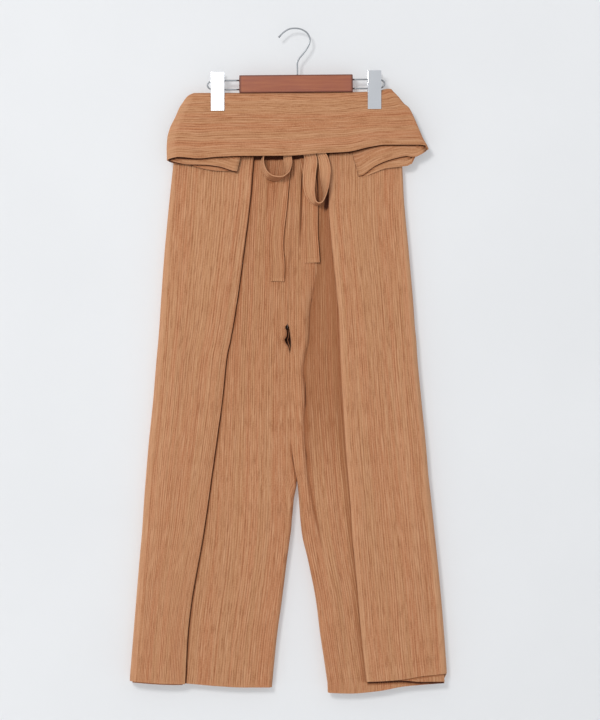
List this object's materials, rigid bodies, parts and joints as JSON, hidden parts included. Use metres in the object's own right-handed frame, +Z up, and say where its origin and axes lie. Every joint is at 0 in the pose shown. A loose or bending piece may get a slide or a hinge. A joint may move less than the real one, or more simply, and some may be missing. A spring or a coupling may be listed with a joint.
{
  "type": "fisherman pants on a clip hanger",
  "caption": "Wide wrap trousers with deep side pleats, the waistband folded forward over a tied self belt, hung flat on a clip hanger with a wooden bar and wire hook.",
  "frame": {"origin": "underside of the top of the hanger's hook, where it rests on whatever carries it", "axes": "+Z up along the trousers, +X to the viewer's right, the front faces -Y"},
  "size_m": [0.5095, 0.0359, 1.0677],
  "materials": {
    "leg_cloth": "matte crinkled cotton, fine irregular ribs along the leg",
    "band_cloth": "the same crinkled cotton cut across, ribs level",
    "tie_cloth": "the same crinkled cotton, sewn flat as a belt",
    "bar_wood": "reddish-brown satin lacquer",
    "chrome": "polished plated steel"
  },
  "bodies": {
    "root": {"front_left": "leg_cloth", "back_left": "leg_cloth", "front_right": "leg_cloth", "back_right": "leg_cloth", "waistband_front": "band_cloth", "waistband_back": "band_cloth", "belt": "tie_cloth", "bow_knot": "tie_cloth", "tail_left": "tie_cloth", "tail_right": "tie_cloth", "loop_left": "tie_cloth", "loop_right": "tie_cloth", "hanger_hook": "chrome", "hanger_bar": "bar_wood", "wire_left": "chrome", "wire_right": "chrome", "clip_left_front": "chrome", "clip_left_back": "chrome", "clip_left_block": "chrome", "clip_right_front": "chrome", "clip_right_back": "chrome", "clip_right_block": "chrome"}
  },
  "joints": []
}
